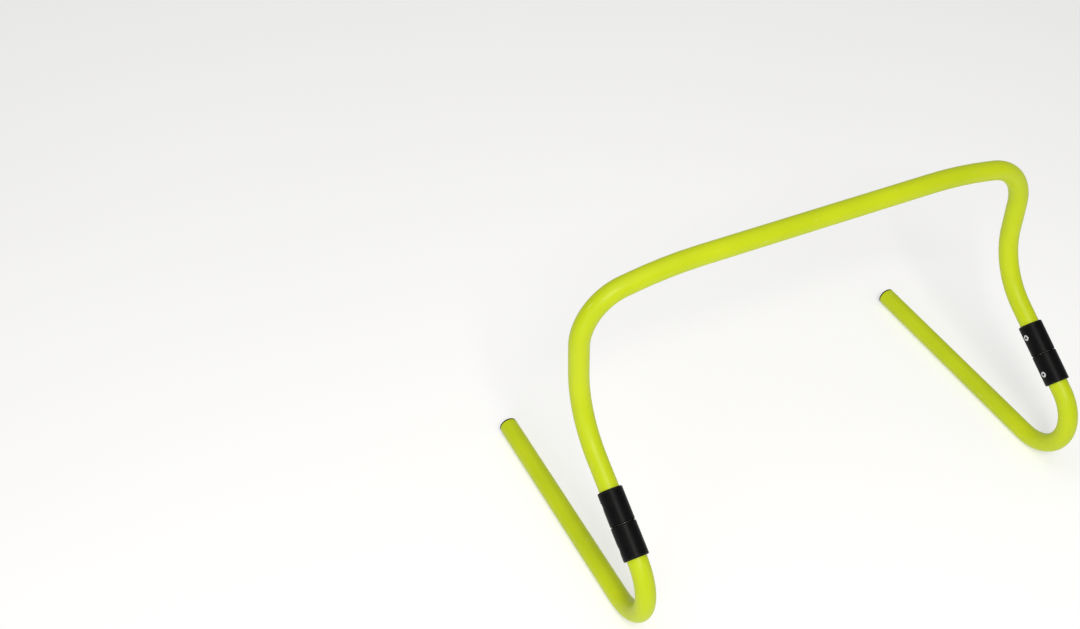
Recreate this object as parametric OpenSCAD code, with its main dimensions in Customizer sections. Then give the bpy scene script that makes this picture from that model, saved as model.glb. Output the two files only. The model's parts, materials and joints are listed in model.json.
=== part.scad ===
// Agility hurdle with two swivelling feet.
// A bent tube hoop stands on two bent tube feet. Each foot hangs from a two-part swivel joint on the
// hoop's leg, and turns about that leg's own slanted axis.
// Origin: on the floor, at the centre of the footprint. +X runs along the bar, +Y towards the feet's
// free ends, +Z up.

/* [Tube] */
// Outside diameter of every tube
tube_d = 19; // [16:0.5:24]
// Wall thickness of every tube
tube_wall = 1.6; // [1.2:0.1:2.4]

/* [Hoop] */
// Distance between the centre lines of the two legs
leg_spacing = 488; // [360:2:620]
// Height of the top of the bar above the floor
hurdle_h = 306; // [296:1:420]
// Centre line radius of the two top corners
corner_r = 51; // [40:1:60]
// Angle that the bar droops by before each corner
bar_droop = 10; // [4:1:12]
// Centre line radius of the bar where it starts to droop
droop_r = 400; // [200:10:500]
// Centre line radius of the forward bend in each leg
leg_bend_r = 92; // [60:1:100]
// Slant of the leg at the joint, measured from vertical
leg_slant = 58; // [50:0.5:65]
// Backward lean of the hoop's uprights, measured from vertical
hoop_lean = 5; // [0:0.5:8]
// Bare straight tube between the leg's bend and the joint, at the middle setting
leg_straight = 24; // [10:1:40]

/* [Foot] */
// Centre line radius of the foot's bend
foot_bend_r = 44; // [35:1:50]
// Bare straight tube between the joint and the foot's bend, at the middle setting
foot_neck = 5; // [5:1:20]
// Straight part of the foot that lies on the floor
foot_len = 235; // [150:1:320]

/* [Swivel joint] */
// How far the left joint sits down its leg, and the right joint up its own, from the middle setting
joint_shift = 4.5; // [-4.5:0.5:4.5]
// Length of one sleeve half
sleeve_len = 32; // [28:0.5:40]
// Wall thickness of the sleeves
sleeve_wall = 2.2; // [2:0.1:3]
// Distance from a sleeve's outer end to its screw
screw_inset = 12; // [9:0.5:14]
// Direction the left joint's screws face, measured round the leg from the hurdle's +X side
left_screw_azimuth = 158; // [0:1:359]
// Direction the right joint's screws face, measured in the same way
right_screw_azimuth = 178; // [0:1:359]

/* [Hidden] */

round_fn = 72;   // facets on a full circle in the preview
bend_fn = 144;   // facets on a full bend in the preview
cut = 1;         // how far a body runs past the face that it cuts or joins

// Preview colours
yellow_plastic = [0.78, 0.86, 0.1];
black_plastic = [0.05, 0.05, 0.06];
zinc = [0.8, 0.8, 0.82];
steel = [0.75, 0.75, 0.77];
spring_steel = [0.6, 0.6, 0.62];
nylon = [0.93, 0.93, 0.9];

tube_r = tube_d / 2;
bore_r = tube_r - tube_wall;
bend_tuck = 0.1;   // how far a bend is drawn into its straight neighbours
bend_slim = 0.05;  // how much thinner the section is where the tube has been bent

// Sleeves
slip = 0.05;              // radial clearance of a sliding fit
rest_gap = 0.05;          // gap between faces that run on or rest against each other
socket_r = tube_r + slip;
upper_r = socket_r + sleeve_wall;
lower_extra = 0.2;        // how much fatter the lower half is than the upper one
lower_r = upper_r + lower_extra;
seam_gap = 0.3;           // gap between the two sleeve halves
rim_round = 1.2;          // rounding of the sleeves' outer ends
seam_chamfer = 0.7;
mouth_chamfer = 0.4;      // lead-in of the sleeves' sockets
web_t = 6;                // thickness of the web that closes each socket at the seam
notch_w = 2.6;            // index notches in the seam, one on each side of the sleeve
notch_h = 1.1;
notch_depth = 1.3;
notch_lag = 34;           // angle from the screws back to a notch

// Pivot stack, from the bolt's head down
bolt_r = 3;
bolt_hole_r = bolt_r + slip;
hex_across_flats = 10;
head_h = 4;
head_pocket = 2;          // depth of the hex pocket in the upper web
friction_t = 1.2;
friction_r = 8;
thrust_t = 1;
washer_r = 6;
washer_play = 0.15;       // radial play of the washers on the bolt
washer_hole_r = bolt_r + washer_play;
spring_t = 0.5;
spring_h = 1.1;
nut_h = 5;
nut_collar_h = 1.2;
nut_collar_r = 4.4;
bolt_tip = 1.5;           // bolt past the nut
head_z = web_t - head_pocket + rest_gap;
thrust_z = -web_t - rest_gap - thrust_t;
spring_z = thrust_z - rest_gap - spring_h;
nut_z = spring_z - rest_gap - nut_h - nut_collar_h;

// Sleeve screws
screw_r = 1.5;
screw_head_r = 3.2;
screw_head_h = 1.3;
screw_tip_r = 5.6;        // distance of the screw's point from the leg's axis
screw_point_h = 1.2;
screw_point_r = 0.3;
recess_play = 0.35;       // radial play of a screw's head in its recess
recess_depth = 1.5;       // depth of the recess in the upper sleeve
recess_r = screw_head_r + recess_play;
recess_floor = upper_r - recess_depth;  // distance of the recess floor from the leg's axis
drill_len = tube_d;       // long enough to pass through one wall from the leg's axis
cross_w = 0.9;
cross_l = 3.6;
cross_depth = 0.8;
screw_z = sleeve_len - screw_inset;

// Plugs
plug_rim_t = 1.6;
plug_rim_inset = 0.1;
plug_rim_r = tube_r - plug_rim_inset;
plug_len = 14;
plug_wall = 1.5;

// Where things are, worked out along the tube from the floor up
leg_x = leg_spacing / 2;
droop_run = 8;                  // straight tube between the drooping bend and the corner
corner_reach = droop_r * sin(bar_droop) + droop_run * cos(bar_droop) + corner_r * (1 - sin(bar_droop));
corner_drop = droop_r * (1 - cos(bar_droop)) + droop_run * sin(bar_droop) + corner_r * cos(bar_droop);
bar_half = leg_x - corner_reach;    // half the level length of the bar
foot_turn = 90 + leg_slant;
leg_bend_angle = leg_slant - hoop_lean;
foot_bend_y = (foot_bend_r + tube_r - foot_len - rest_gap - plug_rim_t) / 2;
joint_reach = foot_neck + sleeve_len;
joint_y = foot_bend_y - foot_bend_r * sin(foot_turn) + joint_reach * sin(leg_slant);
joint_z = tube_r + foot_bend_r * (1 - cos(foot_turn)) + joint_reach * cos(leg_slant);
leg_reach = sleeve_len + leg_straight;
upright_y = joint_y + leg_reach * sin(leg_slant) + leg_bend_r * (cos(hoop_lean) - cos(leg_slant));
upright_z = joint_z + leg_reach * cos(leg_slant) + leg_bend_r * (sin(leg_slant) - sin(hoop_lean));
bar_z = hurdle_h - tube_r;
upright_len = (bar_z - upright_z) / cos(hoop_lean) - corner_drop;
bar_y = upright_y + (upright_len + corner_drop) * sin(hoop_lean);
tube_stop = web_t + rest_gap;   // distance of each tube's end from the seam
leg_end_len = leg_straight + sleeve_len - tube_stop;
foot_top_len = foot_neck + sleeve_len - tube_stop;

// ---- Tube runs. Each one starts at its own origin heading up +Z, and carries its children to its end.

module straight(len, r) {
  cylinder(h = len, r = r, $fn = round_fn);
  translate([0, 0, len]) children();
}

// Carries its children to the end of a bend through an angle towards +X.
module past_bend(radius, angle) {
  translate([radius, 0, 0]) rotate([0, angle, 0]) translate([-radius, 0, 0]) children();
}

// A bend through an angle towards +X. Both its ends run a little way into the straight tube next to them.
module bend(radius, angle, r) {
  tuck_angle = bend_tuck / radius * 180 / PI;
  translate([radius, 0, 0]) rotate([90, 0, 0]) rotate([0, 0, 180 - angle - tuck_angle])
    rotate_extrude(angle = angle + 2 * tuck_angle, $fn = bend_fn)
      translate([radius, 0]) circle(r = r - bend_slim, $fn = round_fn);
  past_bend(radius, angle) children();
}

// One side of the hoop, from the bar's drooping end to the end inside the joint. It is drawn on the +X side,
// whichever side it is for, and over lengthens the open end.
module hoop_side(side, r, over) {
  translate([bar_half, 0, 0]) rotate([0, 90, 0])
    bend(droop_r, bar_droop, r) straight(droop_run, r)
      bend(corner_r, 90 - bar_droop, r) straight(upright_len, r) rotate([0, 0, -90])
        bend(leg_bend_r, leg_bend_angle, r) straight(leg_end_len - side * joint_shift + over, r);
}

// The whole hoop as one solid run, in place.
module hoop_run(r, over = 0) {
  translate([0, bar_y, bar_z]) rotate([-hoop_lean, 0, 0]) {
    translate([-bar_half, 0, 0]) rotate([0, 90, 0]) straight(2 * bar_half, r);
    hoop_side(1, r, over);
    mirror([1, 0, 0]) hoop_side(-1, r, over);
  }
}

// One foot in the joint's frame, from the end inside the joint to the free end. over lengthens both ends.
module foot_run(r, over = 0) {
  translate([0, 0, over - tube_stop]) rotate([180, 0, 90])
    straight(foot_top_len + $side * joint_shift + over, r)
      bend(foot_bend_r, foot_turn, r) straight(foot_len + over, r);
}

// ---- Placing. The joint's frame has its origin on the seam and +Z up the leg.

// Places its children in a joint's frame, and tells them the side (-1 left, 1 right) as $side.
module at_joint(side) {
  $side = side;
  translate([side * leg_x, joint_y, joint_z]) rotate([-leg_slant, 0, 0])
    translate([0, 0, side * joint_shift]) children();
}

function screw_azimuth() = $side < 0 ? left_screw_azimuth : right_screw_azimuth;

// Turns +X to face the way a screw comes out of the sleeve, at a height along the leg.
module at_screw(z) {
  translate([0, 0, z]) rotate([0, 0, screw_azimuth()]) children();
}

// ---- Sleeves

// Half section of a sleeve: a tall rectangle with a rounded top corner and a chamfered bottom one.
module sleeve_section(r) {
  foot = seam_gap / 2;
  difference() {
    union() {
      translate([0, foot]) square([r - rim_round, sleeve_len - foot]);
      translate([0, foot]) square([r, sleeve_len - rim_round - foot]);
      translate([r - rim_round, sleeve_len - rim_round]) circle(r = rim_round, $fn = round_fn);
    }
    polygon([[r - seam_chamfer, foot], [r + cut, foot], [r + cut, foot + seam_chamfer + cut]]);
  }
}

module socket_section() {
  translate([0, web_t]) square([socket_r, sleeve_len]);
  polygon([[0, sleeve_len - mouth_chamfer], [socket_r, sleeve_len - mouth_chamfer],
    [socket_r + mouth_chamfer + cut, sleeve_len + cut], [0, sleeve_len + cut]]);
}

// Screw hole and flat-bottomed recess in a sleeve half, at a height along the leg.
module screw_seat(z) {
  at_screw(z) rotate([0, 90, 0]) {
    translate([0, 0, recess_floor]) cylinder(h = drill_len, r = recess_r, $fn = round_fn);
    cylinder(h = drill_len, r = screw_r + slip, $fn = round_fn);
  }
}

module index_notches(r) {
  for (turn = [0, 180])
    rotate([0, 0, screw_azimuth() - notch_lag + turn])
      translate([r - notch_depth, -notch_w / 2, 0]) cube([notch_depth + cut, notch_w, notch_h]);
}

// One sleeve half above the seam, with the washer's seat in its seam face.
module sleeve_half(r, washer_seat) {
  difference() {
    rotate_extrude($fn = bend_fn) sleeve_section(r);
    rotate_extrude($fn = bend_fn) socket_section();
    cylinder(h = sleeve_len, r = bolt_hole_r, $fn = round_fn);
    cylinder(h = washer_seat, r = friction_r + slip, $fn = round_fn);
    index_notches(r);
  }
}

module upper_sleeve() {
  color(black_plastic)
    difference() {
      sleeve_half(upper_r, friction_t / 2);
      screw_seat(screw_z);
      translate([0, 0, web_t - head_pocket]) hexagon(hex_across_flats + 2 * slip, head_pocket + cut);
    }
}

module lower_sleeve() {
  color(black_plastic)
    difference() {
      mirror([0, 0, 1]) sleeve_half(lower_r, friction_t / 2 + rest_gap);
      screw_seat(-screw_z);
    }
}

// ---- Pivot hardware

module hexagon(across_flats, h) {
  rotate([0, 0, 30]) cylinder(h = h, r = across_flats / 2 / cos(30), $fn = 6);
}

module pivot_bolt() {
  shank_end = nut_z - bolt_tip;
  color(steel) {
    translate([0, 0, head_z]) hexagon(hex_across_flats, head_h);
    translate([0, 0, shank_end]) cylinder(h = head_z + head_h / 2 - shank_end, r = bolt_r, $fn = round_fn);
  }
}

module ring(outer, inner, h) {
  difference() {
    cylinder(h = h, r = outer, $fn = round_fn);
    translate([0, 0, -cut]) cylinder(h = h + 2 * cut, r = inner, $fn = round_fn);
  }
}

module friction_washer() {
  color(nylon)
    translate([0, 0, -friction_t / 2]) ring(friction_r, washer_hole_r, friction_t);
}

module thrust_washer() {
  color(steel)
    translate([0, 0, thrust_z]) ring(washer_r, washer_hole_r, thrust_t);
}

// A conical spring washer, wide end up.
module spring_washer() {
  rise = spring_h - spring_t;
  color(spring_steel)
    translate([0, 0, spring_z]) rotate_extrude($fn = bend_fn)
      polygon([[washer_hole_r, 0], [washer_r, rise], [washer_r, spring_h], [washer_hole_r, spring_t]]);
}

module lock_nut() {
  color(steel)
    translate([0, 0, nut_z]) difference() {
      union() {
        translate([0, 0, nut_collar_h]) hexagon(hex_across_flats, nut_h);
        cylinder(h = nut_collar_h + cut, r = nut_collar_r, $fn = round_fn);
      }
      translate([0, 0, -cut])
        cylinder(h = nut_h + 2 * nut_collar_h + cut, r = bolt_r + slip, $fn = round_fn);
    }
}

// ---- Sleeve screws

// A cross-recess screw seated in a sleeve half, at a height along the leg.
module sleeve_screw(z) {
  head_base = recess_floor + rest_gap;
  edge = screw_head_h / 2;
  color(zinc)
    at_screw(z) rotate([0, 90, 0]) difference() {
      union() {
        translate([0, 0, head_base]) rotate_extrude($fn = bend_fn) {
          square([screw_head_r, screw_head_h - edge]);
          square([screw_head_r - edge, screw_head_h]);
          translate([screw_head_r - edge, screw_head_h - edge]) circle(r = edge, $fn = round_fn);
        }
        translate([0, 0, screw_tip_r + screw_point_h])
          cylinder(h = head_base - screw_tip_r - screw_point_h + edge, r = screw_r, $fn = round_fn);
        translate([0, 0, screw_tip_r])
          cylinder(h = screw_point_h, r1 = screw_point_r, r2 = screw_r, $fn = round_fn);
      }
      for (turn = [0, 90])
        rotate([0, 0, turn])
          translate([-cross_l / 2, -cross_w / 2, head_base + screw_head_h - cross_depth])
            cube([cross_l, cross_w, cross_depth + cut]);
    }
}

// ---- Tubes and plugs

module screw_pilot(z) {
  at_screw(z) rotate([0, 90, 0]) cylinder(h = drill_len, r = screw_r + slip, $fn = round_fn);
}

module hoop_tube() {
  color(yellow_plastic)
    difference() {
      hoop_run(tube_r);
      hoop_run(bore_r, cut);
      for (side = [-1, 1]) at_joint(side) screw_pilot(screw_z);
    }
}

module foot_tube() {
  color(yellow_plastic)
    difference() {
      foot_run(tube_r);
      foot_run(bore_r, cut);
      screw_pilot(-screw_z);
    }
}

// A hollow push-in plug with a rounded rim, in the free end of a foot on the floor.
module foot_plug(side) {
  round_r = plug_rim_t / 2;
  color(black_plastic)
    translate([side * leg_x, foot_bend_y + foot_len + rest_gap, tube_r]) rotate([-90, 0, 0])
      rotate_extrude($fn = bend_fn) {
        square([plug_rim_r - round_r, plug_rim_t]);
        translate([plug_rim_r - round_r, round_r]) circle(r = round_r, $fn = round_fn);
        translate([bore_r - slip - plug_wall, -plug_len]) square([plug_wall, plug_len + round_r]);
      }
}

hoop_tube();
at_joint(-1) upper_sleeve();  // left_upper_sleeve
at_joint(-1) lower_sleeve();  // left_lower_sleeve
at_joint(-1) pivot_bolt();  // left_pivot_bolt
at_joint(-1) friction_washer();  // left_friction_washer
at_joint(-1) thrust_washer();  // left_thrust_washer
at_joint(-1) spring_washer();  // left_spring_washer
at_joint(-1) lock_nut();  // left_lock_nut
at_joint(-1) sleeve_screw(screw_z);  // left_upper_screw
at_joint(-1) sleeve_screw(-screw_z);  // left_lower_screw
at_joint(-1) foot_tube();  // left_foot_tube
foot_plug(-1);  // left_foot_plug
at_joint(1) upper_sleeve();  // right_upper_sleeve
at_joint(1) lower_sleeve();  // right_lower_sleeve
at_joint(1) pivot_bolt();  // right_pivot_bolt
at_joint(1) friction_washer();  // right_friction_washer
at_joint(1) thrust_washer();  // right_thrust_washer
at_joint(1) spring_washer();  // right_spring_washer
at_joint(1) lock_nut();  // right_lock_nut
at_joint(1) sleeve_screw(screw_z);  // right_upper_screw
at_joint(1) sleeve_screw(-screw_z);  // right_lower_screw
at_joint(1) foot_tube();  // right_foot_tube
foot_plug(1);  // right_foot_plug
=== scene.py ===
"""Agility hurdle: every visible piece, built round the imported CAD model. Lengths are in metres."""

import json
import math

import bmesh
import bpy
from mathutils import Matrix, Quaternion, Vector
from mathutils.geometry import intersect_line_line


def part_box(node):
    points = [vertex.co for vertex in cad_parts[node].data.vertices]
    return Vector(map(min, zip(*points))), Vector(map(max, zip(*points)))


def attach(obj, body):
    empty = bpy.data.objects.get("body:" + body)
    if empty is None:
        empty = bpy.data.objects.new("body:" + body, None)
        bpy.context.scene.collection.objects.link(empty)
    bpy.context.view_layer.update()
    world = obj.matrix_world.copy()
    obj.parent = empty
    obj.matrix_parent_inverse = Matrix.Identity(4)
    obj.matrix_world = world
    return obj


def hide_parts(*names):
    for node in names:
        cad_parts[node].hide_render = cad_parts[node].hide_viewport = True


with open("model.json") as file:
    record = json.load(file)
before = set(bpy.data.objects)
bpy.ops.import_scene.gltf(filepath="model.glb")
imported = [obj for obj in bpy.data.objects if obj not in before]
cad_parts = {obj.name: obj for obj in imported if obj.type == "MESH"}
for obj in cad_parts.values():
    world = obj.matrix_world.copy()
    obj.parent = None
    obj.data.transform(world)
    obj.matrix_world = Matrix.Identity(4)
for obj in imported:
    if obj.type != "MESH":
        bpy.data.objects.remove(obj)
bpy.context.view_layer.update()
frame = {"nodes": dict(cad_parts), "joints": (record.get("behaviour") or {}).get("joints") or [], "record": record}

MM = 0.001
SIDES = ("left", "right")
HALVES = ("upper", "lower")
X = Vector((1, 0, 0))
Z = Vector((0, 0, 1))

# ---- Sizes that the CAD boxes don't give. SLIP is the clearance between fitted pieces, and EDGE_BREAK is
# the smallest chamfer or step.

SLIP = 0.05 * MM
EDGE_BREAK = 0.1 * MM

TUBE_WALL = 1.6 * MM
TUBE_DEBURR = 0.3 * MM
BEND_SLIM = 0.05 * MM
HOOP_LEAN = math.radians(5)
CORNER_R = 51 * MM
BAR_DROOP = math.radians(10)
DROOP_R = 400 * MM
DROOP_RUN = 8 * MM
LEG_BEND_R = 92 * MM

WEB = 6 * MM
TUBE_STOP = WEB + SLIP
SEAM_CHAMFER = 0.7 * MM
RIM_ROUND = 1.2 * MM
MOUTH_CHAMFER = 0.4 * MM
WEAR_REACH = 1.5 * MM
NOTCH_DEPTH = 1.3 * MM
NOTCH_TOP = 1.1 * MM
RECESS_R = 3.55 * MM
RECESS_EDGE = 0.15 * MM
RECESS_EDGE_DROP = 0.12 * MM
RECESS_SURROUND = 0.8 * MM

SCREW_AZIMUTH = {"left": math.radians(158), "right": math.radians(178)}
SCREW_HOLE_R = 1.55 * MM
SCREW_CORE_R = 1.15 * MM
SCREW_CREST_R = 1.5 * MM
SCREW_PITCH = 1.1 * MM
SCREW_POINT_H = 1.2 * MM
SCREW_HEAD_H = 1.3 * MM

BOLT_R = 3 * MM
BOLT_CORE_R = 2.6 * MM
BOLT_HOLE_R = BOLT_R + SLIP
BOLT_PITCH = 1 * MM
BOLT_HEAD_H = 4 * MM
BOLT_POINT_H = 0.6 * MM
BOLT_POINT_IN = 0.5 * MM
GRIP_END = -6 * MM
GRIP_FADE = 0.3 * MM
HEX_FLATS = 10 * MM
HEX_FACE_R = 0.48 * HEX_FLATS
HEX_TRIM = math.radians(30)
HEX_POCKET = 2 * MM
NUT_COLLAR_R = 4.4 * MM
NUT_COLLAR_H = 1.2 * MM
NUT_COLLAR_ROUND = 0.5 * MM
WASHER_HOLE_R = BOLT_R + 0.15 * MM
SPRING_THICKNESS = 0.5 * MM

PLUG_BARBS = (2 * MM, 5 * MM, 8 * MM)
PLUG_WALL = 1.5 * MM
PLUG_STEM_PLAY = 0.35 * MM
PLUG_DISH = 0.3 * MM
PLUG_ROUND = 0.7 * MM

# Meshes: columns go round a piece and rows along it. Each screw hole is drilled in a block, which starts
# FIRST_ROW rows from a tube's end. One notch lies NOTCH_LAG columns before the screw, and the other is
# opposite. THREAD_ROWS is how many rows a thread's pitch has.
SLEEVE_COLUMNS = 180
SLEEVE_BLOCK = 24
SLEEVE_BLOCK_H = 10 * MM
TUBE_COLUMNS = 90
TUBE_BLOCK = 10
TUBE_BLOCK_H = 6.5 * MM
FINE_COLUMNS = 72
BLOCK_ROWS = 12
FIRST_ROW = 2
NOTCH_COLUMNS = 6
NOTCH_LAG = 17
THREAD_ROWS = 6
ARC_STEP = math.radians(3)
SHARP = math.radians(34)
MERGE = 1e-3 * MM


# ---- Frames and boxes read from the CAD model

def joint_frame(side):
    """The swivel's frame: origin on the seam, Z up the leg, X along the hurdle's bar."""
    joint = next(j for j in frame["joints"] if j["name"] == side + "_foot_swivel")
    up = Vector(joint["axis"]).normalized()
    turn = Matrix((X, up.cross(X), up)).transposed().to_4x4()
    return Matrix.Translation(joint["pos_m"]) @ turn


def box_in(node, place):
    """Lowest and highest corner of a CAD node, measured in another frame."""
    back = place.inverted()
    points = [back @ v.co for v in frame["nodes"][node].data.vertices]
    low = Vector([min(p[k] for p in points) for k in range(3)])
    high = Vector([max(p[k] for p in points) for k in range(3)])
    return low, high


def screw_frame(side, half):
    """A sleeve screw's frame within its joint's frame: origin on the leg's axis, Z out along the screw."""
    low, high = box_in(f"{side}_{half}_screw", joint_frame(side))
    turn = Matrix.Rotation(SCREW_AZIMUTH[side], 4, "Z") @ Matrix.Rotation(math.pi / 2, 4, "Y")
    return Matrix.Translation((0, 0, (low.z + high.z) / 2)) @ turn


def foot_end(side):
    """The free end of a foot: its place, the way it points, the tube's radius and its straight length."""
    mount = next(m for m in frame["record"]["mounts"] if m["name"] == side + "_foot_end")
    sizes = mount["dims"]
    return Vector(mount["pos_m"]), Vector(mount["axis"]), sizes["r_mm"] * MM, sizes["length_mm"] * MM


# The tubes are drawn as slim all along as the CAD model's bends are, to stay inside its box
TUBE_R = foot_end("left")[2]
SKIN_R = TUBE_R - BEND_SLIM
BORE_R = TUBE_R - TUBE_WALL
SOCKET_R = TUBE_R + SLIP


# ---- Mesh building

class Solid:
    """Points and faces of one piece. One layer holds how rubbed a point is, and in a screw's recess how much
    painted shade darkens it; straight is its place on the unbent tube."""

    def __init__(self):
        self.bm = bmesh.new()
        self.wear_and_shade = self.bm.verts.layers.float.new("wear_and_shade")
        self.straight = self.bm.verts.layers.float_vector.new("straight")

    def point(self, place, wear_and_shade=0.0, straight=None):
        """A new point. Its place on the unbent tube is its own place unless one is given."""
        vert = self.bm.verts.new(place)
        vert[self.wear_and_shade] = wear_and_shade
        vert[self.straight] = place if straight is None else straight
        return vert

    def band(self, ring, other):
        """Faces between two closed rings of as many points."""
        for k in range(len(ring)):
            n = (k + 1) % len(ring)
            self.bm.faces.new((ring[k], ring[n], other[n], other[k]))

    def strip(self, column, following, closed):
        """Faces between two columns, joined end to end if closed."""
        for j in range(len(column) if closed else len(column) - 1):
            n = (j + 1) % len(column)
            self.bm.faces.new((column[j], following[j], following[n], column[n]))

    def piece(self, name, node, body, slot, materials, place=None):
        """Merges the points that coincide, and makes the finished piece that stands for a CAD node."""
        bmesh.ops.remove_doubles(self.bm, verts=self.bm.verts, dist=MERGE)
        unused = [vert for vert in self.bm.verts if not vert.link_faces]
        bmesh.ops.delete(self.bm, geom=unused, context="VERTS")
        bmesh.ops.recalc_face_normals(self.bm, faces=self.bm.faces)
        mesh = bpy.data.meshes.new(name)
        self.bm.to_mesh(mesh)
        self.bm.free()
        mesh.shade_smooth()
        mesh.set_sharp_from_angle(angle=SHARP)
        for material in materials:
            mesh.materials.append(material)
        made = bpy.data.objects.new(name, mesh)
        bpy.context.scene.collection.objects.link(made)
        made.matrix_world = place or Matrix.Identity(4)
        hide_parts(node)
        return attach(made, body)


def polar(radius, turn, height):
    """A point at a radius, an angle and a height."""
    return Vector((radius * math.cos(turn), radius * math.sin(turn), height))


def arc(centre, radius, start_deg, end_deg, steps=6):
    """Points (r, z) along an arc of a profile."""
    turns = [math.radians(start_deg + (end_deg - start_deg) * k / steps) for k in range(steps + 1)]
    return [(centre[0] + radius * math.cos(t), centre[1] + radius * math.sin(t)) for t in turns]


def softened(corners, cut):
    """A closed profile with each corner rounded over a short distance."""
    points = []
    for k, corner in enumerate(corners):
        here = Vector(corner)
        back = here + (Vector(corners[k - 1]) - here).normalized() * cut
        on = here + (Vector(corners[(k + 1) % len(corners)]) - here).normalized() * cut
        middle = (back + on) / 4 + here / 2
        points += [tuple(back), tuple(middle), tuple(on)]
    return points


def at(value, turn):
    """A number, or a function's value at an angle."""
    return value(turn) if callable(value) else value


def lathe(solid, profile, closed=False):
    """Turns a profile of (r, z) or (r, z, rubbed wear and painted shade) about Z. r and z may be functions of the
    angle, and closed joins the profile's ends."""
    turned = []
    for i in range(FINE_COLUMNS):
        turn = 2 * math.pi * i / FINE_COLUMNS
        places = [(polar(at(r, turn), turn, at(z, turn)), *wear_and_shade) for r, z, *wear_and_shade in profile]
        turned.append([solid.point(*place) for place in places])
    for i, column in enumerate(turned):
        solid.strip(column, turned[(i + 1) % FINE_COLUMNS], closed)


def hexagon(flats):
    """A hexagon's radius as a function of the angle, with a corner at 30 degrees."""
    half_side = math.radians(30)

    def radius(turn):
        off = turn % (2 * half_side) - half_side
        return flats / 2 / math.cos(half_side - abs(off))

    return radius


def hex_edge(height, slope):
    """Height of a hexagon's edge where a shallow cone trims its corners. slope is 1 on top, -1 below."""
    radius = hexagon(HEX_FLATS)
    return lambda turn: height - slope * (radius(turn) - HEX_FACE_R) * math.tan(HEX_TRIM)


def thread(solid, low, high, core, crest, ends, pitch):
    """A helical thread between two heights. core and ends are functions of the height: the radius between
    the crests, and the radius that the thread fades to at both its ends."""
    first = math.floor(low / pitch * THREAD_ROWS) - THREAD_ROWS
    count = math.ceil(high / pitch * THREAD_ROWS) - first + 1

    def place(i, m):
        share = i / FINE_COLUMNS
        height = pitch * ((first + m) / THREAD_ROWS + share)
        height = min(max(height, low), high)
        wave = abs((height / pitch - share) % 1 * 2 - 1)
        fade = min(1.0, (height - low) / pitch, (high - height) / pitch)
        inner = core(height)
        radius = inner + (crest - core(high)) * wave
        return polar(radius * fade + ends(height) * (1 - fade), 2 * math.pi * share, height)

    grid = [[solid.point(place(i, m)) for m in range(count)] for i in range(FINE_COLUMNS)]
    for i, column in enumerate(grid[:-1]):
        solid.strip(column, grid[i + 1], False)
    shifted = [grid[0][min(m + THREAD_ROWS, count - 1)] for m in range(count)]
    for m in range(count - 1):
        corners = (grid[-1][m], shifted[m], shifted[m + 1], grid[-1][m + 1])
        solid.bm.faces.new(dict.fromkeys(corners))


# ---- Walls with a screw hole through them

def looped_wall(solid, columns, left_open):
    """A wall closed both ways, from columns that are closed loops. left_open holds the cells that get no
    face."""
    for i, column in enumerate(columns):
        following = columns[(i + 1) % len(columns)]
        for j in range(len(column)):
            if (i, j) not in left_open:
                n = (j + 1) % len(column)
                solid.bm.faces.new((column[j], following[j], following[n], column[n]))


def block_cells(columns, first, last, near, far):
    """The cells of a block of a wall. It may run on past the last column to the first ones."""
    rows = range(min(near, far), max(near, far))
    return {(i % len(columns), j) for i in range(first, last) for j in rows}


def block_rim(columns, first, last, near, far):
    """The points round the edge of a block of a wall."""
    step = 1 if far > near else -1
    count = len(columns)
    rim = [columns[i % count][near] for i in range(first, last)]
    rim += [columns[last % count][j] for j in range(near, far, step)]
    rim += [columns[i % count][far] for i in range(last, first, -1)]
    rim += [columns[first % count][j] for j in range(far, near, -step)]
    return rim


def on_round(radius, sunk=0.0):
    """Height of a round wall in a screw's frame, as a function of the distance to the side of the screw."""
    return lambda aside: math.sqrt(radius * radius - aside * aside) - sunk


def flat_at(height):
    """The same for a flat wall across the screw."""
    return lambda aside: height


def drill(solid, columns, seat, block, inner_rows, steps):
    """Opens a block of the outer wall and the same one of the inner wall, and joins them in steps.
    A step is (radius, height as a function of the distance aside, wear)."""
    outer = block_rim(columns, *block)
    inner = block_rim(columns, block[0], block[1], *inner_rows)
    back = seat.inverted()
    turns = [math.atan2(*(back @ v.co).yx) for v in outer]
    before = outer
    for radius, height, wear_and_shade in steps:
        ring = []
        for turn, edge in zip(turns, outer):
            aside = radius * math.sin(turn)
            place = seat @ Vector((radius * math.cos(turn), aside, height(aside)))
            ring.append(solid.point(place, wear_and_shade, edge[solid.straight]))
        solid.band(before, ring)
        before = ring
    solid.band(before, inner)
    return block_cells(columns, *block) | block_cells(columns, block[0], block[1], *inner_rows)


# ---- Tubes

def rounded_path(corners):
    """(place, heading) along a line through corners of (place, radius), with the inner corners rounded."""
    stations = []
    for (before, _), (corner, radius), (after, _) in zip(corners, corners[1:], corners[2:]):
        arriving = (corner - before).normalized()
        leaving = (after - corner).normalized()
        turn = arriving.angle(leaving)
        inward = (leaving - arriving * math.cos(turn)).normalized()
        centre = corner - arriving * radius * math.tan(turn / 2) + inward * radius
        steps = math.ceil(turn / ARC_STEP)
        for k in range(steps + 1):
            sine = math.sin(turn * k / steps)
            cosine = math.cos(turn * k / steps)
            place = centre + (arriving * sine - inward * cosine) * radius
            stations.append((place, arriving * cosine + inward * sine))
    return [(corners[0][0], stations[0][1])] + stations + [(corners[-1][0], stations[-1][1])]


def with_rows(stations, distances):
    """Adds stations on the first straight, at distances from its free end."""
    start, heading = stations[0]
    along = (stations[1][0] - start).normalized()
    return stations[:1] + [(start + along * d, heading) for d in distances] + stations[1:]


def drilled_rows(middle, height):
    """Distances of the rows through a drilled block."""
    return [middle + height * (k / BLOCK_ROWS - 0.5) for k in range(BLOCK_ROWS + 1)]


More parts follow.
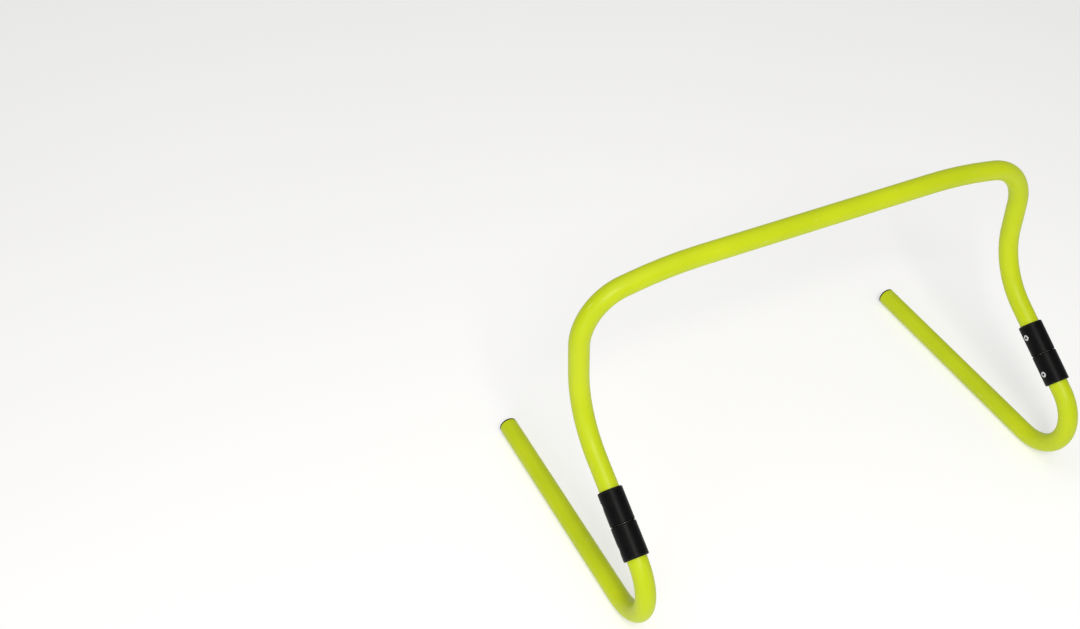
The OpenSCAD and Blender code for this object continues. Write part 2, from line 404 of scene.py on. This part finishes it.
def carried(stations, side):
    """The side direction at each station, carried along the path without twist."""
    sides = [side]
    for (_, before), (_, after) in zip(stations, stations[1:]):
        sides.append(before.rotation_difference(after) @ sides[-1])
    return sides


def tube_piece(node, body, stations, seats):
    """A hollow tube along stations. seats are (screw frame, the block's first row)."""
    solid = Solid()
    step = 2 * math.pi / TUBE_COLUMNS
    start = SCREW_AZIMUTH["left"] % step    # centres a column on each screw
    sides = carried(stations, X)
    last = len(stations) - 1
    walked = [0.0]
    for (before, _), (after, _) in zip(stations, stations[1:]):
        walked.append(walked[-1] + (after - before).length)
    trims = [TUBE_DEBURR if k in (0, last) else 0 for k in range(last + 1)]
    loop = [(k, SKIN_R - trims[k]) for k in range(last + 1)]
    loop += [(k, BORE_R + trims[k]) for k in range(last, -1, -1)]
    columns = []
    for i in range(TUBE_COLUMNS):
        turn = start + step * i
        columns.append([])
        for k, radius in loop:
            place, heading = stations[k]
            out = sides[k] * math.cos(turn) + heading.cross(sides[k]) * math.sin(turn)
            straight = Vector((walked[k], radius * math.cos(turn), radius * math.sin(turn)))
            columns[-1].append(solid.point(place + out * radius, 0.0, straight))
    left_open = set()
    for seat, row in seats:
        heading = stations[row][1]
        out = seat.col[2].xyz
        turn = math.atan2(out.dot(heading.cross(sides[row])), out.dot(sides[row]))
        first = round((turn - start) / step) % TUBE_COLUMNS - TUBE_BLOCK // 2
        block = (first, first + TUBE_BLOCK, row, row + BLOCK_ROWS)
        inner_rows = (2 * last + 1 - row, 2 * last + 1 - row - BLOCK_ROWS)
        steps = [(SCREW_HOLE_R, on_round(SKIN_R), 0), (SCREW_HOLE_R, on_round(BORE_R), 0)]
        left_open |= drill(solid, columns, seat, block, inner_rows, steps)
    looped_wall(solid, columns, left_open)
    return solid.piece(node + "_mesh", node, body, "tube_plastic", [TUBE_PLASTIC])


def tube_end(side, half):
    """A tube's end inside a joint: its place, its screw's frame and the rows that its first straight
    needs."""
    place = joint_frame(side)
    seat = screw_frame(side, half)
    end = Vector((0, 0, TUBE_STOP if half == "upper" else -TUBE_STOP))
    rows = drilled_rows((seat.translation - end).length, TUBE_BLOCK_H)
    return place @ end, place @ seat, [TUBE_DEBURR] + rows


def hoop_tube():
    """The hoop, from the left joint up, over the drooping ends of the bar and down to the right joint."""
    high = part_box("hoop_tube")[1]
    bar = Vector((0, high.y - TUBE_R, high.z - TUBE_R))
    upright = Vector((0, math.sin(HOOP_LEAN), math.cos(HOOP_LEAN)))
    corner_turn = math.pi / 2 - BAR_DROOP
    slope = DROOP_R * math.tan(BAR_DROOP / 2) + DROOP_RUN + CORNER_R * math.tan(corner_turn / 2)
    corners = []
    ends = [tube_end(side, "upper") for side in SIDES]
    for side, (end, _, _) in zip(SIDES, ends):
        top = Vector((end.x, bar.y, bar.z))
        up = joint_frame(side).col[2].xyz
        knee = intersect_line_line(end, end + up, top, top - upright)[0]
        corner = top - upright * slope * math.sin(BAR_DROOP)
        droop = top - X * math.copysign(slope * math.cos(BAR_DROOP), end.x)
        run = [(end, 0), (knee, LEG_BEND_R), (corner, CORNER_R), (droop, DROOP_R)]
        corners += run if side == "left" else run[::-1]
    stations = with_rows(rounded_path(corners), ends[0][2])
    stations = with_rows(stations[::-1], ends[1][2])[::-1]
    last_row = len(stations) - 1 - FIRST_ROW - BLOCK_ROWS
    tube_piece("hoop_tube", "hoop", stations, [(ends[0][1], FIRST_ROW), (ends[1][1], last_row)])


def foot_tube(side):
    """A foot, from the joint down, round its bend and back along the floor."""
    end, seat, rows = tube_end(side, "lower")
    free_end, outward, _, length = foot_end(side)
    down = -joint_frame(side).col[2].xyz
    heel = intersect_line_line(end, end + down, free_end, free_end + outward)[0]
    reach = (free_end - outward * length - heel).length
    radius = reach / math.tan(down.angle(outward) / 2)
    stations = rounded_path([(end, 0), (heel, radius), (free_end, 0)])
    stations = with_rows(with_rows(stations[::-1], [TUBE_DEBURR])[::-1], rows)
    tube_piece(side + "_foot_tube", side + "_foot", stations, [(seat, FIRST_ROW)])


# ---- Sleeves

def sleeve_variants(i):
    """Whether a sleeve's column is drawn plain, notched or, at a notch's side, both."""
    middle = SLEEVE_BLOCK - NOTCH_LAG
    into = [i - middle - opposite + NOTCH_COLUMNS // 2 for opposite in (0, SLEEVE_COLUMNS // 2)]
    if 0 in into:
        return (False, True)
    if NOTCH_COLUMNS in into:
        return (True, False)
    return (any(0 < n < NOTCH_COLUMNS for n in into),)


def sleeve_profile(radius, foot, length, seat_top, seat_r, rows, upper):
    """A function of the angle and of being notched. It gives a sleeve half's closed section, in points of
    (r, z, wear)."""
    lip = radius - NOTCH_DEPTH
    rim = arc((radius - RIM_ROUND, length - RIM_ROUND), RIM_ROUND, 0, 90)
    pocket = hexagon(HEX_FLATS + 2 * SLIP)

    def section(turn, notched):
        if notched:
            edge = [(lip, (foot + NOTCH_TOP) / 2, 0), (lip, NOTCH_TOP, 0)]
        else:
            edge = [(radius - SEAM_CHAMFER, foot, 0), (radius, foot + SEAM_CHAMFER, 0)]
        outside = [(seat_r, foot, 0), (lip, foot, 0)] + edge
        outside += [(radius, NOTCH_TOP, 0), (radius, NOTCH_TOP + WEAR_REACH, 0)]
        outside += [(radius, z, 0) for z in rows]
        outside += [(radius, length - RIM_ROUND - WEAR_REACH, 0)]
        outside += [(r, z, 1) for r, z in rim]
        inside = [(SOCKET_R + MOUTH_CHAMFER, length, 0.5), (SOCKET_R, length - MOUTH_CHAMFER, 0)]
        inside += [(SOCKET_R, z, 0) for z in reversed(rows)]
        inside += [(SOCKET_R, WEB, 0)]
        if upper:
            inside += [(pocket(turn), WEB, 0), (pocket(turn), WEB - HEX_POCKET, 0)]
            inside += [(BOLT_HOLE_R, WEB - HEX_POCKET, 0)]
        else:
            inside += [(BOLT_HOLE_R, WEB, 0)]
        return outside + inside + [(BOLT_HOLE_R, seat_top, 0), (seat_r, seat_top, 0)]

    return section


def sleeve(side, half):
    """One half of a swivel's sleeve, with its screw recess and its index notches."""
    place = joint_frame(side)
    node = f"{side}_{half}_sleeve"
    upper = half == "upper"
    flip = 1 if upper else -1
    low, high = box_in(node, place)
    foot, length = sorted((abs(low.z), abs(high.z)))
    washer = box_in(side + "_friction_washer", place)[1]
    seat = screw_frame(side, half)
    rows = drilled_rows(abs(seat.translation.z), SLEEVE_BLOCK_H)
    seat_top = washer.z if upper else washer.z + SLIP
    section = sleeve_profile(high.x, foot, length, seat_top, washer.x + SLIP, rows, upper)
    solid = Solid()
    columns = []
    first_at = []
    for i in range(SLEEVE_COLUMNS):
        turn = SCREW_AZIMUTH[side] + 2 * math.pi * (i - SLEEVE_BLOCK) / SLEEVE_COLUMNS
        first_at.append(len(columns))
        for notched in sleeve_variants(i):
            points = section(turn, notched)
            columns.append([solid.point(polar(r, turn, z * flip), wear_and_shade) for r, z, wear_and_shade in points])
    heights = [z for _, z, _ in section(0, notched=False)]
    near = heights.index(rows[0])
    inner_near = len(heights) - 1 - heights[::-1].index(rows[0])
    first = first_at[SLEEVE_BLOCK // 2]
    last = first_at[SLEEVE_BLOCK * 3 // 2]
    floor = box_in(f"{side}_{half}_screw", place @ seat)[1].z - SCREW_HEAD_H - SLIP
    steps = [
        (RECESS_R + RECESS_SURROUND, on_round(high.x), 0),
        (RECESS_R + RECESS_EDGE, on_round(high.x), 1),
        (RECESS_R, on_round(high.x, RECESS_EDGE_DROP), 1),
        (RECESS_R, flat_at(floor), 0),
        (SCREW_HOLE_R, flat_at(floor), 0),
        (SCREW_HOLE_R, on_round(SOCKET_R), 0),
    ]
    block = (first, last, near, near + BLOCK_ROWS)
    left_open = drill(solid, columns, seat, block, (inner_near, inner_near - BLOCK_ROWS), steps)
    looped_wall(solid, columns, left_open)
    body = "hoop" if upper else side + "_foot"
    solid.piece(node + "_mesh", node, body, "sleeve_plastic", [SLEEVE_PLASTIC], place)


# ---- Sleeve screws

def cross_outline(scale):
    """Radius of a cross recess with a round middle as a function of the angle."""
    half_w = 0.55 * MM * scale
    half_l = 1.9 * MM * scale
    middle = 1.3 * MM * scale
    least_sine = 1e-6

    def radius(turn):
        off = abs((turn + math.pi / 4) % (math.pi / 2) - math.pi / 4)
        return max(middle, min(half_l / math.cos(off), half_w / max(math.sin(off), least_sine)))

    return radius


def sleeve_screw(side, half):
    """A self-tapping screw with a domed head and a tapered cross recess."""
    node = f"{side}_{half}_screw"
    place = joint_frame(side) @ screw_frame(side, half)
    low, high = box_in(node, place)
    head_r = high.x
    top = high.z
    tip = low.z
    base = top - SCREW_HEAD_H
    edge = 0.6 * MM
    dome = 0.18 * MM
    dome_radii = (2.0 * MM, 2.3 * MM)
    recess_floor = top - 1.0 * MM
    outline = cross_outline(1)
    wall = cross_outline(0.92)
    floor = cross_outline(0.55)

    def crown(radius):
        return top - dome * (radius / (head_r - edge)) ** 2

    solid = Solid()
    # The cross recess's points are marked 1, so the metal darkens them: painted shade in the recess.
    head = [(0, recess_floor, 1), (floor, recess_floor, 1), (wall, top - dome - EDGE_BREAK, 1)]
    head += [(outline, lambda turn: crown(outline(turn)))]
    head += [(radius, crown(radius)) for radius in dome_radii]
    head += arc((head_r - edge, top - dome - edge), edge, 90, 0)
    head += [(head_r, base + EDGE_BREAK), (head_r - EDGE_BREAK, base), (SCREW_CORE_R, base)]
    lathe(solid, head)
    start = tip + 0.2 * MM
    blunt = 0.2

    def core(height):
        return SCREW_CORE_R * min(1.0, blunt + (height - tip) / SCREW_POINT_H)

    thread(solid, start, base, core, SCREW_CREST_R, core, SCREW_PITCH)
    lathe(solid, [(core(start), start), (0, tip)])
    body = "hoop" if half == "upper" else side + "_foot"
    solid.piece(node + "_mesh", node, body, "screw_zinc", [SCREW_ZINC], place)


# ---- Pivot hardware, inside each joint

def hardware(side, kind, solid, slot, material):
    """Finishes a piece that was drawn in its joint's frame."""
    node = f"{side}_{kind}"
    solid.piece(node + "_mesh", node, "hoop", slot, [material], joint_frame(side))


def pivot_bolt(side):
    """A hex bolt, head up, with its thread below the grip."""
    low, high = box_in(side + "_pivot_bolt", joint_frame(side))
    base = high.z - BOLT_HEAD_H
    tip = low.z
    outline = hexagon(HEX_FLATS)
    thread_low = tip + BOLT_POINT_H

    def core(height):
        return BOLT_CORE_R

    solid = Solid()
    head = [(0, high.z), (HEX_FACE_R, high.z), (outline, hex_edge(high.z, 1)), (outline, base)]
    head += [(BOLT_R, base), (BOLT_R, GRIP_END + GRIP_FADE), (BOLT_CORE_R, GRIP_END)]
    lathe(solid, head)
    thread(solid, thread_low, GRIP_END, core, BOLT_R, core, BOLT_PITCH)
    lathe(solid, [(BOLT_CORE_R, thread_low), (BOLT_CORE_R - BOLT_POINT_IN, tip), (0, tip)])
    hardware(side, "pivot_bolt", solid, "pivot_steel", PIVOT_STEEL)


def lock_nut(side):
    """A hex nut with a rounded collar below it, which holds its insert."""
    low, high = box_in(side + "_lock_nut", joint_frame(side))
    outline = hexagon(HEX_FLATS)
    collar_top = low.z + NUT_COLLAR_H
    collar_foot = NUT_COLLAR_R + 0.2 * MM
    insert_r = 3.6 * MM
    insert_sunk = 0.25 * MM
    thread_low = low.z + 0.3 * MM
    round_centre = (NUT_COLLAR_R - NUT_COLLAR_ROUND, low.z + NUT_COLLAR_ROUND)

    def core(height):
        return BOLT_CORE_R + SLIP

    def mouth(height):
        return WASHER_HOLE_R

    solid = Solid()
    outside = [(WASHER_HOLE_R, high.z), (HEX_FACE_R, high.z), (outline, hex_edge(high.z, 1))]
    outside += [(outline, hex_edge(collar_top, -1)), (collar_foot, collar_top)]
    outside += arc(round_centre, NUT_COLLAR_ROUND, 0, -90)
    outside += [(insert_r, low.z), (insert_r - EDGE_BREAK, low.z + insert_sunk)]
    outside += [(WASHER_HOLE_R, thread_low)]
    lathe(solid, outside)
    thread(solid, thread_low, high.z, core, BOLT_R + SLIP, mouth, BOLT_PITCH)
    hardware(side, "lock_nut", solid, "pivot_steel", PIVOT_STEEL)


def washer(side, kind, slot, material):
    """A flat washer with softened edges."""
    low, high = box_in(f"{side}_{kind}", joint_frame(side))
    soft = 0.15 * MM
    section = [(WASHER_HOLE_R, low.z), (high.x, low.z), (high.x, high.z), (WASHER_HOLE_R, high.z)]
    solid = Solid()
    lathe(solid, softened(section, soft), closed=True)
    hardware(side, kind, solid, slot, material)


def spring_washer(side):
    """A conical spring washer, wide end up."""
    low, high = box_in(side + "_spring_washer", joint_frame(side))
    soft = 0.08 * MM
    section = [(WASHER_HOLE_R, low.z), (high.x, high.z - SPRING_THICKNESS)]
    section += [(high.x, high.z), (WASHER_HOLE_R, low.z + SPRING_THICKNESS)]
    solid = Solid()
    lathe(solid, softened(section, soft), closed=True)
    hardware(side, "spring_washer", solid, "spring_steel", SPRING_STEEL)


# ---- Foot plugs

def foot_plug(side):
    """A push-in plug: a round-edged rim, a dished face with a gate mark, and a barbed hollow stem."""
    node = side + "_foot_plug"
    end, outward, _, _ = foot_end(side)
    place = Matrix.Translation(end) @ Z.rotation_difference(outward).to_matrix().to_4x4()
    low, high = box_in(node, place)
    rim_r = high.x
    top = high.z
    bottom = low.z
    base = SLIP
    dished = top - PLUG_DISH
    gate_top = top - PLUG_DISH / 2
    gate_r = 0.8 * MM
    gate_foot = 1 * MM
    dish_r = rim_r - 2.6 * MM
    ledge_r = rim_r - 2.2 * MM
    stem_r = BORE_R - PLUG_STEM_PLAY
    barb_r = BORE_R - SLIP
    inner_r = barb_r - PLUG_WALL
    barb_rise = 0.3 * MM
    barb_land = 0.8 * MM
    barb_end = 2 * MM
    lead_in = 0.8 * MM
    lead_in_depth = 0.6 * MM
    section = [(0, gate_top), (gate_r, gate_top), (gate_foot, dished), (dish_r, dished), (ledge_r, top)]
    section += arc((rim_r - PLUG_ROUND, top - PLUG_ROUND), PLUG_ROUND, 90, 0)
    section += [(rim_r, base + EDGE_BREAK), (rim_r - EDGE_BREAK, base), (stem_r, base)]
    for barb in PLUG_BARBS:
        section += [(stem_r, -barb), (barb_r, -barb - barb_rise)]
        section += [(barb_r, -barb - barb_land), (stem_r, -barb - barb_end)]
    section += [(stem_r, bottom + lead_in), (stem_r - lead_in_depth, bottom), (inner_r, bottom)]
    section += [(inner_r, base), (0, base)]
    solid = Solid()
    lathe(solid, section)
    solid.piece(node + "_mesh", node, side + "_foot", "plug_plastic", [PLUG_PLASTIC], place)


# ---- Materials

class Look:
    """A material being built from nodes."""

    def __init__(self, name):
        self.material = bpy.data.materials.new(name)
        self.material.use_nodes = True
        self.tree = self.material.node_tree
        self.surface = self.tree.nodes["Principled BSDF"]

    def feed(self, socket, value):
        """Links a socket to another node's output, or gives it a value."""
        if isinstance(value, bpy.types.NodeSocket):
            self.tree.links.new(value, socket)
        else:
            socket.default_value = value

    def add(self, kind, inputs=None, **settings):
        """A new node of a kind, with its inputs fed and its settings set."""
        made = self.tree.nodes.new("ShaderNode" + kind)
        for key, value in settings.items():
            setattr(made, key, value)
        for key, value in (inputs or {}).items():
            self.feed(made.inputs[key], value)
        return made

    def attribute(self, name):
        """A mesh attribute's node."""
        return self.add("Attribute", attribute_name=name)

    def place(self, scale=(1, 1, 1), source=None):
        """The piece's own coordinates, or an attribute's, in metres times a scale."""
        where = source or self.add("TexCoord").outputs["Object"]
        return self.add("Mapping", {"Vector": where, "Scale": scale}).outputs[0]

    def noise(self, where, scale, detail=3.0, roughness=0.5):
        """Noise that repeats about scale times a metre."""
        inputs = {"Vector": where, "Scale": scale, "Detail": detail, "Roughness": roughness}
        return self.add("TexNoise", inputs).outputs["Fac"]

    def spread(self, value, low, high, to_low=0.0, to_high=1.0):
        """A value carried from one range to another."""
        inputs = {"Value": value, "From Min": low, "From Max": high, "To Min": to_low, "To Max": to_high}
        return self.add("MapRange", inputs).outputs[0]

    def maths(self, operation, a, b):
        """The result of an operation on two values."""
        return self.add("Math", {0: a, 1: b}, operation=operation).outputs[0]

    def mix(self, share, a, b):
        """A colour that goes from a to b as the share goes from 0 to 1."""
        made = self.add("Mix", data_type="RGBA")
        self.feed(made.inputs["Factor"], share)
        self.feed(made.inputs["A"], a)
        self.feed(made.inputs["B"], b)
        return made.outputs["Result"]

    def bump(self, height, distance, before=None):
        """A normal tilted by a height map, on top of an earlier bump if one is given."""
        inputs = {"Height": height, "Distance": distance, "Strength": 1.0}
        if before is not None:
            inputs["Normal"] = before
        return self.add("Bump", inputs).outputs[0]

    def set(self, **values):
        """Sets the surface's inputs, and gives the finished material."""
        for key, value in values.items():
            self.feed(self.surface.inputs[key.replace("_", " ")], value)
        return self.material


def tube_plastic():
    """Fluorescent yellow-green extruded plastic: faint draw lines, slight orange peel and light scuffs."""
    deep = (0.475, 0.57, 0.004, 1)
    bright = (0.53, 0.62, 0.006, 1)
    greener = (0.40, 0.54, 0.004, 1)
    scuffed = (0.72, 0.78, 0.30, 1)
    look = Look("tube_plastic")
    unbent = look.attribute("straight").outputs["Vector"]
    broad = look.noise(unbent, 11, 2)
    draw_lines = look.noise(look.place((9, 800, 800), unbent), 1, 3)
    peel = look.noise(unbent, 420, 2)
    scratches = look.spread(look.noise(look.place((50, 700, 700), unbent), 1, 2), 0.66, 0.74)
    patches = look.spread(look.noise(unbent, 26, 3), 0.52, 0.66)
    scuffs = look.maths("MULTIPLY", scratches, patches)
    colour = look.mix(look.spread(broad, 0.35, 0.65), deep, bright)
    colour = look.mix(look.spread(draw_lines, 0.3, 0.7, 0, 0.12), colour, greener)
    colour = look.mix(look.maths("MULTIPLY", scuffs, 0.5), colour, scuffed)
    roughness = look.spread(draw_lines, 0.3, 0.7, 0.39, 0.46)
    roughness = look.maths("ADD", roughness, look.maths("MULTIPLY", scuffs, 0.22))
    normal = look.bump(peel, 0.03 * MM)
    normal = look.bump(draw_lines, 0.02 * MM, normal)
    normal = look.bump(scuffs, -0.02 * MM, normal)
    look.set(Subsurface_Weight=0.12, Subsurface_Radius=(1, 1, 0.2), Subsurface_Scale=2 * MM)
    return look.set(Base_Color=colour, Roughness=roughness, Normal=normal, Specular_IOR_Level=0.25)


def moulded_black(name, grain, roughness_low, roughness_high, worn):
    """Black moulded plastic: a fine grain, slight cloudiness, and edges rubbed paler by worn."""
    black = (0.0022, 0.0022, 0.0025, 1)
    clouded = (0.0038, 0.0038, 0.004, 1)
    bare = (0.10, 0.10, 0.10, 1)
    look = Look(name)
    where = look.place()
    wear_and_shade = look.attribute("wear_and_shade").outputs["Fac"]
    cloud = look.noise(where, 90, 3)
    fine = look.noise(where, grain, 2)
    rubbed = look.maths("MULTIPLY", wear_and_shade, look.spread(look.noise(where, 500, 3), 0.40, 0.62))
    colour = look.mix(look.spread(cloud, 0.35, 0.65), black, clouded)
    colour = look.mix(look.maths("MULTIPLY", rubbed, worn), colour, bare)
    roughness = look.spread(cloud, 0.3, 0.7, roughness_low, roughness_high)
    normal = look.bump(fine, 0.03 * MM)
    return look.set(Base_Color=colour, Roughness=roughness, Normal=normal, Specular_IOR_Level=0.075)


def metal(name, colour, darker, roughness, grain_scale):
    """Metal with turned or drawn grain that varies its tone and shine, and with painted shade darkening its
    recesses.
    """
    # Near black: painted shade for a screw's cross recess.
    painted_recess_shade = (0.012, 0.012, 0.012, 1)
    look = Look(name)
    where = look.place(grain_scale)
    grain = look.noise(where, 1, 3)
    tone = look.mix(look.spread(grain, 0.3, 0.7), darker, colour)
    # Painted shade: points marked 1 in the point layer (a screw's cross recess) are darkened to near black.
    tone = look.mix(look.attribute("wear_and_shade").outputs["Fac"], tone, painted_recess_shade)
    shine = look.spread(grain, 0.3, 0.7, roughness * 0.8, roughness * 1.3)
    normal = look.bump(grain, 0.01 * MM)
    return look.set(Base_Color=tone, Metallic=1.0, Roughness=shine, Normal=normal)


def washer_nylon():
    """Off-white nylon, a little cloudy."""
    cream = (0.74, 0.72, 0.66, 1)
    pale = (0.82, 0.80, 0.75, 1)
    look = Look("washer_nylon")
    cloud = look.noise(look.place(), 300, 3)
    colour = look.mix(cloud, cream, pale)
    roughness = look.spread(cloud, 0.3, 0.7, 0.4, 0.5)
    normal = look.bump(look.noise(look.place(), 1500, 2), 0.02 * MM)
    look.set(Subsurface_Weight=0.2, Subsurface_Radius=(1, 1, 1), Subsurface_Scale=1 * MM)
    return look.set(Base_Color=colour, Roughness=roughness, Normal=normal)


def paper_floor():
    """A plain pale studio floor of paper, with a little light of its own."""
    grey = (0.59, 0.59, 0.59, 1)
    paler = (0.61, 0.61, 0.61, 1)
    look = Look("studio_floor")
    colour = look.mix(look.noise(look.place(), 3, 2), grey, paler)
    look.set(Emission_Color=(*WHITE, 1), Emission_Strength=0.42)
    return look.set(Base_Color=colour, Roughness=0.9, Specular_IOR_Level=0.1)


# ---- Studio

WHITE = (1.0, 1.0, 1.0)
WARM = (1.0, 0.97, 0.91)
FLOOR_R = 9.0
FLOOR_DROP = 0.2 * MM
AIM = Vector((0, 0, 0.12))
CAMERA_PLACE = (-0.66629, -0.71419, 1.03382)
CAMERA_AZIMUTH = math.radians(-27.904)
CAMERA_ELEVATION = math.radians(42.205)
CAMERA_ROLL = math.radians(2.178)
LENS_MM = 44.735
SENSOR_MM = 36


def floor():
    """A round floor just under the feet."""
    bm = bmesh.new()
    bmesh.ops.create_circle(bm, cap_ends=True, radius=FLOOR_R, segments=96)
    mesh = bpy.data.meshes.new("floor")
    bm.to_mesh(mesh)
    bm.free()
    mesh.materials.append(paper_floor())
    made = bpy.data.objects.new("floor", mesh)
    made.location.z = -FLOOR_DROP
    bpy.context.scene.collection.objects.link(made)


def softbox(name, place, size, power, colour):
    """A square area light that faces the object."""
    lamp = bpy.data.lights.new(name, "AREA")
    lamp.shape = "SQUARE"
    lamp.size = size
    lamp.energy = power
    lamp.color = colour
    made = bpy.data.objects.new(name, lamp)
    made.location = place
    made.rotation_mode = "QUATERNION"
    made.rotation_quaternion = (AIM - Vector(place)).to_track_quat("-Z", "Y")
    bpy.context.scene.collection.objects.link(made)


def ambient(strength):
    """Even light from all round."""
    world = bpy.data.worlds.new("studio")
    world.use_nodes = True
    background = world.node_tree.nodes["Background"]
    background.inputs["Color"].default_value = (*WHITE, 1)
    background.inputs["Strength"].default_value = strength
    bpy.context.scene.world = world


def camera():
    """The photo's view: front left of the hurdle and above it, with a slight roll."""
    level = math.cos(CAMERA_ELEVATION)
    sideways = -math.sin(CAMERA_AZIMUTH) * level
    forwards = math.cos(CAMERA_AZIMUTH) * level
    ahead = Vector((sideways, forwards, -math.sin(CAMERA_ELEVATION)))
    lens = bpy.data.cameras.new("camera")
    lens.sensor_width = SENSOR_MM
    lens.lens = LENS_MM
    made = bpy.data.objects.new("camera", lens)
    made.location = CAMERA_PLACE
    made.rotation_mode = "QUATERNION"
    made.rotation_quaternion = ahead.to_track_quat("-Z", "Y") @ Quaternion(Z, CAMERA_ROLL)
    bpy.context.scene.collection.objects.link(made)
    bpy.context.scene.camera = made


# ---- The whole scene

TUBE_PLASTIC = tube_plastic()
SLEEVE_PLASTIC = moulded_black("sleeve_plastic", grain=1800, roughness_low=0.38, roughness_high=0.46,
                               worn=0.1)
PLUG_PLASTIC = moulded_black("plug_plastic", grain=2200, roughness_low=0.5, roughness_high=0.62, worn=0.0)
SCREW_ZINC = metal("screw_zinc", colour=(0.78, 0.79, 0.80, 1), darker=(0.52, 0.53, 0.55, 1),
                   roughness=0.28, grain_scale=(900, 900, 60))
PIVOT_STEEL = metal("pivot_steel", colour=(0.66, 0.66, 0.67, 1), darker=(0.44, 0.44, 0.46, 1),
                    roughness=0.34, grain_scale=(200, 200, 1600))
SPRING_STEEL = metal("spring_steel", colour=(0.22, 0.22, 0.23, 1), darker=(0.12, 0.12, 0.13, 1),
                     roughness=0.42, grain_scale=(700, 700, 700))
WASHER_NYLON = washer_nylon()

hoop_tube()
for side in SIDES:
    foot_tube(side)
    foot_plug(side)
    for half in HALVES:
        sleeve(side, half)
        sleeve_screw(side, half)
    pivot_bolt(side)
    lock_nut(side)
    washer(side, "friction_washer", "washer_nylon", WASHER_NYLON)
    washer(side, "thrust_washer", "pivot_steel", PIVOT_STEEL)
    spring_washer(side)

floor()
ambient(0.34)
softbox("key", place=(-0.6, -1.25, 1.7), size=0.64, power=26, colour=WARM)
softbox("side", place=(-1.2, -0.9, 0.5), size=0.6, power=3, colour=WHITE)
softbox("top", place=(-0.4, 0.3, 2.6), size=2.2, power=15, colour=WHITE)
bpy.context.scene.view_settings.view_transform = "Standard"
camera()
